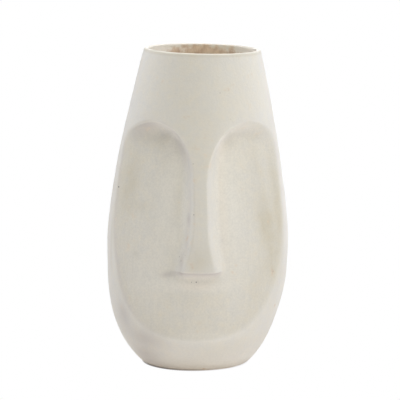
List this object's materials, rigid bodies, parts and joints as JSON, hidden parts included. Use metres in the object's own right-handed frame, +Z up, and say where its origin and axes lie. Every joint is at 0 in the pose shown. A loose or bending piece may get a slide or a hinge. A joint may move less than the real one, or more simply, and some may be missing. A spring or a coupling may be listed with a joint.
{
  "type": "face planter",
  "caption": "Tall egg-shaped papier-mache planter with a plain carved face and open mouth, moulded in halves over a board floor, with a watertight liner that lifts out.",
  "frame": {"origin": "on the ground under the middle of the planter's bounding box", "axes": "+Z up from the foot to the mouth, the face looks along -Y, +X to the viewer's right of the face"},
  "size_m": [0.2007, 0.2019, 0.3513],
  "materials": {
    "chalk_coat": "matte",
    "bare_mache": "matte",
    "pressed_board": "matte",
    "liner_plastic": "satin"
  },
  "bodies": {
    "planter": {"front_shell": "chalk_coat", "rear_shell": "chalk_coat", "rim_cord": "chalk_coat", "seam_strip_left": "bare_mache", "seam_strip_right": "bare_mache", "base_board": "pressed_board", "base_strip": "bare_mache"},
    "liner": {"liner_cup": "liner_plastic"}
  },
  "joints": [
    {"name": "liner_lift", "type": "slide", "parent": "planter", "child": "liner", "axis": [0, 0, 1], "range_m": [0, 0.36]}
  ]
}
